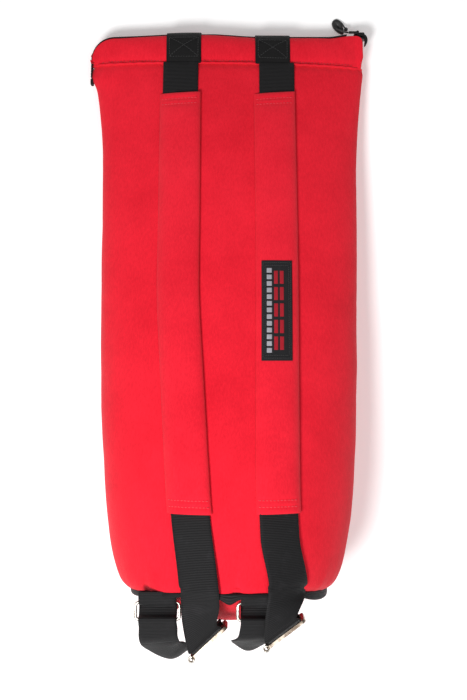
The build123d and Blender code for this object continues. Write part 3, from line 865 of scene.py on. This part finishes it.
def zip_end_fold():
    """The tape's end, folded round the mouth's right corner."""
    path = catmull([(149, 367.6, 1.2), (154, 368.6, 2.2), (158.2, 367.2, 3.0),
                    (160.2, 363, 3.2), (159.6, 358.5, 2.6), (158.6, 356.6, 0.8)], 7)
    sections = []
    ahead = np.gradient(path[:, :2], axis=0)
    for (x, y, thick), (dx, dy) in zip(path, ahead):
        size = math.hypot(dx, dy)
        loop = []
        for k in range(20):
            a = 2 * math.pi * k / 20
            across = thick / 2 * math.copysign(abs(math.cos(a)) ** 0.7, math.cos(a))
            up = 6.0 * math.copysign(abs(math.sin(a)) ** 0.5, math.sin(a))
            loop.append(((x - dy / size * across) * MM, (y + dx / size * across) * MM, ZIP_Z + up * MM))
        sections.append(loop)
    dress(tube("zip_end_fold", sections), zip_cloth, "bag", "zip_black")


# ---- pieces: the cord pull -----------------------------------------------------------------------
PULL_ROUTE = [
    (139.1, 372.1, 20.5),
    (136.4, 373.2, 17.4),
    (132.8, 376.4, 11.4),
    (129.2, 380.2, 5.4),
    (124.4, 383.9, 1.9),
    (122.2, 389.8, 1.4),
    (127.0, 393.6, 1.4),
    (132.6, 390.2, 1.7),
    (135.8, 384.4, 4.8),
    (137.8, 378.8, 10.0),
]
CORD = 2.0 * MM


def pull_grip():
    """A soft moulded leaf round the loop's end, with a raised rim and a narrow slot."""
    middle = Vector((129.3, 384.2, 2.2)) * MM
    ahead = Vector((-9.5, 14.5, 0)).normalized()
    side = Vector((ahead.y, -ahead.x, 0))
    sections = []
    rings = [(1.0, -1.0), (1.06, 0.0), (1.0, 1.1), (0.86, 1.9), (0.66, 1.7),
             (0.42, 1.0), (0.24, 0.8), (0.17, 0.1), (0.15, -1.2)]
    for size, lift in rings:
        loop = []
        for k in range(64):
            a = 2 * math.pi * k / 64
            slim = 5.2 * (1 - 0.28 * math.cos(a)) * math.sin(a)
            along = -9.6 * math.cos(a) - 0.6
            narrow = size ** 1.4 if size < 0.5 else size
            loop.append(middle + side * slim * narrow * MM + ahead * along * size * MM
                        + Vector((0, 0, lift * MM)))
        sections.append(loop)
    return dress(tube("pull_cord_grip", sections), soft_rubber, "zip_pull", "black_cord")


def cord_pull():
    curve = bpy.data.curves.new("pull_cord_line", "CURVE")
    curve.dimensions = "3D"
    curve.bevel_depth = CORD / 2
    curve.bevel_resolution = 4
    curve.resolution_u = 12
    curve.use_fill_caps = True
    spline = curve.splines.new("NURBS")
    spline.points.add(len(PULL_ROUTE) - 1)
    for point, place in zip(spline.points, PULL_ROUTE):
        point.co = (*(v * MM for v in place), 1)
    spline.order_u = 3
    spline.use_endpoint_u = True
    cord = bpy.data.objects.new("pull_cord_loop", curve)
    bpy.context.scene.collection.objects.link(cord)
    dress(cord, black_thread, "zip_pull", "black_cord", "pull_cord")
    end = Vector(PULL_ROUTE[-1]) * MM
    turns = []
    for k in range(60):
        a = 2 * math.pi * k / 20
        turns.append(end + Vector((1.5 * math.cos(a), 1.5 * math.sin(a), (k / 59 - 0.5) * 3.6)) * MM)
    knot = round_cord("pull_cord_knot", turns, 0.85 * MM, 8)
    dress(knot, black_thread, "zip_pull", "black_cord", "pull_knot")
    grip = pull_grip()


# ---- pieces: anchor patches and upper webbing ----------------------------------------------------
def strip_grid(line, width, y_from, y_to, lift, rows, columns=9, shift=0.0, edge=0.4 * MM):
    """A flat strap on the bag's back along a strap's middle line: its outer face."""
    grid = np.zeros((rows, columns, 3))
    for i, y in enumerate(np.linspace(y_from, y_to, rows)):
        x_middle = line_x(line, y) + shift
        for j in range(columns):
            across = (j / (columns - 1) - 0.5) * width
            p = back_point(x_middle + across, y)[0]
            droop = edge * (2 * across / width) ** 6
            grid[i, j] = (p.x, p.y, p.z + lift - droop)
    return grid


def anchor_patches():
    for side in STRAPS:
        low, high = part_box(f"{side}_anchor_patch")
        middle, half = (low.x + high.x) / 2, (high.x - low.x) / 2

        def on_patch(u, s, lift):
            inside = min(max(s, 0.0), 1.0)
            p = flap_point(middle + half * u, inside)
            raised = math.cos(inside * math.pi / 2) ** 0.3
            return p + Vector((0, 3.4 * MM * inside ** 5 - 1.5 * MM * (1 - inside) ** 8,
                               lift * raised - 2.5 * MM * max(0.0, s - 1) / 0.03))

        rows, columns = 40, 15
        grid = np.zeros((rows, columns, 3))
        for i in range(rows):
            s = 1.03 - 1.03 * i / (rows - 1)
            for j in range(columns):
                u = -1 + 2 * j / (columns - 1)
                grid[i, j] = on_patch(u, s, 2.3 * MM - 0.5 * MM * abs(u) ** 6)
        patch = slab(f"{side}_anchor_webbing", grid, 1.5 * MM)
        dress(patch, patch_webbing, "mouth_flap", "black_webbing", f"{side}_anchor_patch")
        corners = ((-.84, .10), (.84, .10), (.84, .62), (-.84, .62))
        pairs = [(corners[k], corners[(k + 1) % 4]) for k in range(4)]
        pairs += [(corners[0], corners[2]), (corners[1], corners[3])]
        rows_across = [[on_patch(a[0] + (b[0] - a[0]) * t, a[1] + (b[1] - a[1]) * t, 2.55 * MM)
                        for t in np.linspace(0, 1, 20)] for a, b in pairs]
        stitching(f"{side}_anchor_stitches", rows_across, black_thread, "mouth_flap", "black_webbing",
                  2.2 * MM, 0.8 * MM, 0.36 * MM)


def upper_webbings():
    for side, middle_line in STRAPS.items():
        shift = {"left": -0.5 * MM, "right": 2.6 * MM}[side]
        top = SEAM_Y + seam_slant(middle_line[0][0] * MM) + 0.9 * MM
        end = SLEEVE_TOP - 3 * MM
        rows = 30
        grid = strip_grid(middle_line, WEB_WIDTH, top, end, 3.3 * MM, rows, 13, shift)
        for i in range(rows):
            past = i / (rows - 1)
            grid[i, :, 2] -= 1.1 * MM * past ** 2 + 0.5 * MM * math.exp(-((past / 0.06) ** 2))
        piece = slab(f"{side}_upper_strap", grid, WEBBING)
        dress(piece, black_webbing, f"{side}_strap", "black_webbing", f"{side}_upper_webbing")


# ---- pieces: the padded sleeves and the label ----------------------------------------------------
SLEEVE_WIDTH = 47 * MM
SLEEVE_SLANT = {"left": 1.6 * MM, "right": 3.2 * MM}
SLEEVE_ROWS = (SLEEVE_TOP - 7.5 * MM, SLEEVE_TOP - 14 * MM, SLEEVE_END + 7.5 * MM, SLEEVE_END + 14 * MM)
ROW_DENT = 1.6 * MM


def sleeve_middle(side, y):
    """The sleeve's middle line, a little straighter than the webbing inside it."""
    base = line_x(STRAPS[side], y)
    sway = 0.7 * MM * math.sin((y + 0.05) / 0.09) if side == "left" else 0.5 * MM * math.sin(y / 0.07)
    return base + sway


def sleeve_height(side, v, y):
    """The sleeve's top face over the bag's back; v runs -1 to 1 across."""
    puff = 9.0 * MM + 0.9 * MM * noise.noise(Vector((y / 0.09, 3.0 if side == "left" else 8.0, 0)))
    near_end = min(SLEEVE_TOP - y, y - SLEEVE_END)
    puff *= 0.80 + 0.20 * float(smooth(near_end / 0.03))
    round_off = max(0.0, 1 - abs(v) ** (3.0 if v < 0 else 7.0)) ** (0.8 if v < 0 else 0.5)
    edge = 1.2 * MM if v < 0 else 4.6 * MM
    return edge + (puff - edge) * round_off + 1.1 * MM * v * (1 - v * v)


def sleeve_point(side, y, v, top=True):
    """A point on a sleeve's top or bottom face."""
    slant = SLEEVE_SLANT[side] * v / 2 * float(smooth((y - SLEEVE_TOP + 0.04) / 0.04))
    x = sleeve_middle(side, y) + v * SLEEVE_WIDTH / 2 * (1 - 0.012 * abs(v) ** 8)
    base = back_point(x, min(y, SEAM_Y - 3 * MM))[0]
    height = sleeve_height(side, v, y)
    relief = 0.0
    if top:
        p = Vector((x, y, 0))
        relief += 0.75 * MM * ripple(p, 0.040, 11.0) + 0.30 * MM * ripple(p, 0.013, 5.0)
        for row in SLEEVE_ROWS:
            relief -= 0.9 * MM * math.exp(-(((y - row) / ROW_DENT) ** 2))
        relief *= max(0.0, 1 - abs(v) ** 6)
        return Vector((base.x, y + slant, base.z + height + relief))
    under = 0.8 * MM + max(0, v) ** 5 * 1.6 * MM
    return Vector((base.x, y + slant, base.z + min(under, height - 0.6 * MM)))


def sleeves():
    for side in STRAPS:
        around, lengthwise = 56, 150
        sections = []
        shares = (1 - np.cos(np.pi * np.linspace(0, 1, lengthwise))) / 2
        ys = SLEEVE_TOP - (SLEEVE_TOP - SLEEVE_END) * shares
        for i, y in enumerate(ys):
            end_share = min(1.0, min(SLEEVE_TOP - y, y - SLEEVE_END) / (3.2 * MM))
            size = math.sqrt(max(0.0, 1 - (1 - end_share) ** 2)) * 0.72 + 0.28
            loop = []
            for k in range(around):
                a = 2 * math.pi * k / around
                v = math.copysign(abs(math.cos(a)) ** 0.55, math.cos(a))
                up = sleeve_point(side, float(y), v, True)
                down = sleeve_point(side, float(y), v, False)
                share = 0.5 + 0.5 * math.copysign(abs(math.sin(a)) ** 0.8, math.sin(a))
                middle = (up + down) / 2
                p = down + (up - down) * share
                loop.append(middle + (p - middle) * size)
            sections.append(loop)
        piece = tube(f"{side}_padded_sleeve", sections)
        dress(piece, sleeve_canvas, f"{side}_strap", "red_canvas", f"{side}_sleeve", f"{side}_sleeve_foam")
        runs = []
        for row in SLEEVE_ROWS:
            runs.append([sleeve_point(side, row, v) + Vector((0, 0, 0.5 * MM))
                         for v in np.linspace(-0.93, 0.93, 40)])
        stitching(f"{side}_sleeve_stitches", runs, red_thread, f"{side}_strap", "red_canvas",
                  2.6 * MM, 1.2 * MM)


MARK_LIFT = 0.22 * MM
MARK_DEPTH = 0.5 * MM


def label_pieces():
    """The sleeve's label: a black ground with a stitched border, grey bars and red blocks."""
    low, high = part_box("sleeve_label")
    half_x, half_y = 16.5 * MM, (high.y - low.y) / 2
    y_middle = (low.y + high.y) / 2
    x_shift = -0.6 * MM

    def on_label(u, w, lift=0.0):
        y = y_middle + w * half_y
        v = (u * half_x + x_shift) / (SLEEVE_WIDTH / 2)
        p = sleeve_point("right", y, v)
        return p + Vector((0, 0, 0.9 * MM + lift))

    def patch(name, u_range, w_range, lift, thickness, shape):
        grid = np.zeros((*shape, 3))
        for i, w in enumerate(np.linspace(w_range[1], w_range[0], shape[0])):
            for j, u in enumerate(np.linspace(u_range[0], u_range[1], shape[1])):
                grid[i, j] = on_label(u, w, lift)
        return slab(name, grid, thickness)

    ground = patch("sleeve_label_ground", (-1, 1), (-1, 1), 0.0, 0.9 * MM, (60, 20))
    dress(ground, label_black, "right_strap", "label_cloth", "sleeve_label")
    border = []
    for lane in (0.955, 0.90):
        u_in = 1 - (1 - lane) * 2.2
        corners = [(-u_in, -lane), (u_in, -lane), (u_in, lane), (-u_in, lane), (-u_in, -lane)]
        for (u0, w0), (u1, w1) in zip(corners, corners[1:]):
            ts = np.linspace(0, 1, 60)
            border.append([on_label(u0 + (u1 - u0) * t, w0 + (w1 - w0) * t, 0.25 * MM) for t in ts])
    stitching("sleeve_label_border", border, black_thread, "right_strap", "label_cloth",
              1.8 * MM, 0.5 * MM, 0.3 * MM)
    for number, w in enumerate(np.linspace(-0.80, 0.80, 13)):
        grey = patch(f"sleeve_label_bar_{number}", (-0.66, -0.34), (w - 0.045, w + 0.045),
                     MARK_LIFT, MARK_DEPTH, (8, 6))
        dress(grey, label_grey, "right_strap", "label_cloth")
    for number, w in enumerate(np.linspace(-0.66, 0.66, 5)):
        for half, (u0, u1) in enumerate(((-0.18, 0.06), (0.20, 0.44))):
            red = patch(f"sleeve_label_block_{number}_{half}", (u0, u1), (w - 0.13, w + 0.13),
                        MARK_LIFT, MARK_DEPTH, (14, 6))
            dress(red, label_red, "right_strap", "label_cloth")


# ---- pieces: the lower strap, its loop through the ring, tabs and fittings -----------------------
def ribbon(name, line, sides, width, thickness, wave=0.0):
    """A strap along points, each with the direction across it; the line is its middle."""
    line = np.asarray(line, float)
    sides = np.asarray(sides, float)
    columns = 13
    grid = np.zeros((len(line), columns, 3))
    ahead = np.gradient(line, axis=0)
    ahead /= np.maximum(np.linalg.norm(ahead, axis=1, keepdims=True), 1e-9)
    for i, (p, side) in enumerate(zip(line, sides)):
        side = side - ahead[i] * np.dot(side, ahead[i])
        side /= np.linalg.norm(side)
        face = np.cross(ahead[i], side)
        for j in range(columns):
            u = j / (columns - 1) - 0.5
            curl = wave * math.sin(u * 7 + i * 0.35)
            grid[i, j] = p + side * width * u + face * (thickness / 2 + curl)
    return slab(name, grid, thickness)


def across_at(turn):
    """The horizontal direction across a strap that has turned by an angle in degrees."""
    a = math.radians(turn)
    return (math.cos(a), math.sin(a), 0.0)


def out_at(turn):
    a = math.radians(turn)
    return np.array((math.sin(a), -math.cos(a), 0.0))


GLIDES = {
    "left": {"centre": (-20, -297, 174), "turn": 43.0},
    "right": {"centre": (58, -288, 174), "turn": 37.0},
}
# Each loop past the ring's far bar: its outer and its inner edge at each station. It hangs in a
# half turn, so the outer edge ends at the glide's right.
LOOPS = {
    "left": [((-92, -286, 172), (-53, -286, 172.5)), ((-92.5, -297, 167), (-53, -295, 168.5)),
             ((-91, -307, 157), (-51.5, -301.5, 162)), ((-85, -317, 144), (-49.5, -305, 156)),
             ((-74, -326, 133), (-47, -307.5, 151)), ((-60, -330, 126), (-43.5, -309.5, 148)),
             ((-46, -324, 121), (-39.5, -310.5, 147)), ((-31, -309, 123), (-36.5, -311, 148.5)),
             ((-15, -293.5, 136), (-34.6, -310.6, 152.5)), ((-7, -285, 157), (-33.9, -310, 158))],
    "right": [((12, -284, 184.5), (51, -284, 184.5)), ((10, -293, 179), (50.5, -291.5, 181)),
              ((5, -299.5, 169), (49, -297, 174)), ((3, -305, 156), (47.5, -300, 167)),
              ((8, -312, 143), (46, -301.5, 161)), ((19, -319, 134), (44.7, -302, 156)),
              ((31, -318, 127), (43.6, -301.5, 152.5)), ((47, -304, 124), (43, -300.6, 151.5)),
              ((63, -289, 136), (42.8, -300, 153.5)), ((72.4, -277.4, 156), (43, -299.3, 157))],
}


# Each strap's steps through its glide: outwards from the frame's middle, and up, in millimetres.
GLIDE_STEPS = ((-9.5, 17.5), (-4.6, 14.8), (-3.0, 11.5), (0.0, 6.5), (3.2, 0.5), (1.0, -5.5), (-2.8, -9.5),
               (-3.3, -14.0), (-3.6, -18.0))


STRAP_END_Y = -243 * MM                     # where a strap leaves the back at the base's rim
RIM_SWING = {"left": 0.0, "right": 6.0 * MM}    # how far a strap drifts right before it


def strap_columns():
    return [(j / 12 - 0.5) * WEB_WIDTH for j in range(13)]


def lower_straps():
    """Down the back, over the rim and through the glide: inside its top bar, outside its middle one."""
    for side, middle_line in STRAPS.items():
        glide = GLIDES[side]
        centre = np.array(glide["centre"]) * MM
        out = out_at(glide["turn"]) * MM
        across = np.array(across_at(glide["turn"]))
        half_way = np.array(across_at(glide["turn"] * 0.45))
        on_back = np.linspace(SLEEVE_END + 9 * MM, STRAP_END_Y, 36)
        columns = []
        swing = RIM_SWING[side]
        for u in strap_columns():
            line = []
            for y in on_back:
                drift = swing * float(smooth((-0.19 - y) / 0.05))
                p = back_point(line_x(middle_line, y) + u + drift, y)[0]
                near_rim = float(smooth((-0.215 - y) / 0.03))
                wave = 0.5 * MM * noise.noise(Vector((u / 0.03, y / 0.02, 4.0)))
                line.append((p.x, y, p.z + 3.6 * MM + wave + 1.4 * MM * near_rim))
            rim = np.array(line[-1])
            bar = centre + out * GLIDE_STEPS[0][0] + across * u + (0, 0, GLIDE_STEPS[0][1] * MM)
            rim_middle = np.array((line_x(middle_line, STRAP_END_Y) + swing, STRAP_END_Y, rim[2]))
            between = (rim_middle * 0.5 + (centre + out * GLIDE_STEPS[0][0]) * 0.5) + half_way * u
            between[2] = (rim[2] + bar[2]) / 2 - 0.6 * MM
            points = [line[-2], rim, rim + (0, -7 * MM, -2.0 * MM), between, bar]
            points += [centre + out * o + across * u + (0, 0, z * MM) for o, z in GLIDE_STEPS[1:]]
            columns.append(line[:-1] + [tuple(p) for p in catmull(points, 6)[6:]])
        grid = np.array(columns).transpose(1, 0, 2)
        piece = slab(f"{side}_lower_strap", grid, WEBBING)
        dress(piece, black_webbing, f"{side}_strap", "black_webbing",
              f"{side}_lower_webbing", f"{side}_free_webbing")


# The start of each loop, round the ring's far bar: places behind and above the bar.
LOOP_START = ((14.5, -10.5), (10.0, -8.6), (6.0, -6.4), (3.6, -3.6), (2.9, 0.0), (1.4, 2.6), (-2.4, 2.9))
LOOP_SAMPLES = 8                            # rows between two stations


def return_loops():
    """Up from under the ring, over its far bar, and round in a hanging half turn to the glide's foot."""
    for side, stations in LOOPS.items():
        low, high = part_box(f"{side}_ring")
        bar = np.array(((low.x + high.x) / 2, low.y + 1.6 * MM, (low.z + high.z) / 2))
        half = (WEB_WIDTH - 1 * MM) / 2
        start = []
        for dy, dz in LOOP_START:
            y, z = bar[1] + dy * MM, bar[2] + dz * MM
            start.append((bar[0] - half, y, z, bar[0] + half, y, z))
        rest = [(*(np.array(a) * MM), *(np.array(b) * MM)) for a, b in stations]
        edges = catmull(start + rest, LOOP_SAMPLES)
        hang_row = len(start) * LOOP_SAMPLES
        columns = 15
        grid = np.zeros((len(edges), columns, 3))
        for i, row in enumerate(edges):
            for j in range(columns):
                u = j / (columns - 1)
                p = Vector(row[:3]).lerp(Vector(row[3:]), u)
                hang = float(smooth((i - hang_row) / 16))
                p.y -= (2.2 * MM * math.sin(math.pi * u) + 0.9 * MM * math.sin(5 * u + i * 0.21)) * hang
                grid[i, j] = p
        joint_row = hang_row + 14
        for part, first, last in (("ring_loop", 0, joint_row + 1), ("glide_loop", joint_row, len(edges))):
            piece = slab(f"{side}_{part}", grid[first:last], WEBBING)
            if part == "ring_loop":
                dress(piece, black_webbing, None, "black_webbing")
                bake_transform(piece)
            else:
                dress(piece, black_webbing, None, "black_webbing", f"{side}_return_loop")
                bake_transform(piece)


# The roll of a ring's tab round the bar: places behind and above the bar, in millimetres.
TAB_ROLL = ((11.0, 4.4), (6.0, 4.6), (2.0, 4.0), (-1.6, 2.9), (-3.4, 0.2), (-2.0, -2.8), (1.6, -3.4),
            (6.5, -2.6), (10.5, -1.8))


def ring_tabs():
    """Each ring hangs in a folded roll of webbing that comes out from under the binding."""
    for side in STRAPS:
        low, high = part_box(f"{side}_ring_tab")
        ring_low, ring_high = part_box(f"{side}_ring")
        middle_x = (low.x + high.x) / 2
        bar_y = ring_high.y - 1.6 * MM
        bar_z = (ring_low.z + ring_high.z) / 2
        bend = catmull([(bar_y + dy * MM, bar_z + dz * MM) for dy, dz in TAB_ROLL], 7)
        points = [(middle_x, y, z) for y, z in bend]
        tilt = math.radians(-4.5)
        across = [(math.cos(tilt), math.sin(tilt), 0)] * len(points)
        piece = ribbon(f"{side}_ring_tab_roll", points, across, high.x - low.x, 1.5 * MM, 0.12 * MM)
        dress(piece, black_webbing, "bag", "black_webbing", f"{side}_ring_tab")


def fittings():
    for side in STRAPS:
        repaint(f"{side}_ring", nickel)
        repaint(f"{side}_glide_frame", old_brass)
        repaint(f"{side}_glide_bar", old_brass)
        glide = GLIDES[side]
        across = np.array(across_at(glide["turn"]))
        end = np.array(glide["centre"]) * MM - across * 23.6 * MM + (0, 0, 12.4 * MM)
        out = out_at(glide["turn"])
        curl = []
        for k in range(40):
            a = 2 * math.pi * k / 26
            curl.append(end + across * (2.7 * MM * math.cos(a) - 0.6 * MM) + out * 2.7 * MM * math.sin(a)
                        + np.array((0, 0, (k - 20) * 0.09 * MM)))
        piece = round_cord(f"{side}_glide_curl", curl, 1.0 * MM, 10)
        dress(piece, nickel, f"{side}_glide", "nickel_steel")


# ---- make the bag --------------------------------------------------------------------------------
cord_pull()
padded_tube()
tube_lining()
base_pieces()
flap_piece()
front_band()
piping()
band_stitching()
zip_pieces()
anchor_patches()
upper_webbings()
sleeves()
label_pieces()
lower_straps()
return_loops()
ring_tabs()
fittings()


# ---- floor, light and camera ---------------------------------------------------------------------
def floor():
    mesh = bpy.data.meshes.new("floor")
    span, low = 3.0, -0.3 * MM
    mesh.from_pydata([(-span, -span, low), (span, -span, low), (span, span, low), (-span, span, low)],
                     [], [(0, 1, 2, 3)])
    plane = bpy.data.objects.new("floor", mesh)
    bpy.context.scene.collection.objects.link(plane)
    paint = Paint("pale_floor", 0.9, specular=0.1)
    paint.feed("Base Color", (0.95, 0.95, 0.95, 1))
    paint.feed("Emission Color", (1, 1, 1, 1))
    paint.feed("Emission Strength", 0.22)
    mesh.materials.append(paint.material)


def area_light(name, place, aim, size, power):
    data = bpy.data.lights.new(name, "AREA")
    data.shape = "DISK"
    data.size = size
    data.energy = power
    light = bpy.data.objects.new(name, data)
    light.location = place
    light.rotation_euler = (Vector(aim) - Vector(place)).to_track_quat("-Z", "Y").to_euler()
    bpy.context.scene.collection.objects.link(light)


floor()
area_light("key_light", (-0.40, -0.50, 1.25), (0.02, -0.08, 0.08), 0.40, 16.5)
area_light("fill_light", (0.55, -0.40, 1.6), (0, -0.08, 0.05), 1.3, 6.5)
world = bpy.data.worlds.new("studio")
world.use_nodes = True
world.node_tree.nodes["Background"].inputs["Color"].default_value = (1, 1, 1, 1)
world.node_tree.nodes["Background"].inputs["Strength"].default_value = 0.28
bpy.context.scene.world = world
bpy.context.scene.view_settings.view_transform = "Standard"

CAMERA_HEIGHT = 1.244
camera_data = bpy.data.cameras.new("camera")
camera_data.sensor_width = 36.0
camera_data.sensor_fit = "AUTO"
camera_data.lens = 53.69
camera = bpy.data.objects.new("camera", camera_data)
camera.location = (5 * MM, 0, CAMERA_HEIGHT)
bpy.context.scene.collection.objects.link(camera)
bpy.context.scene.camera = camera
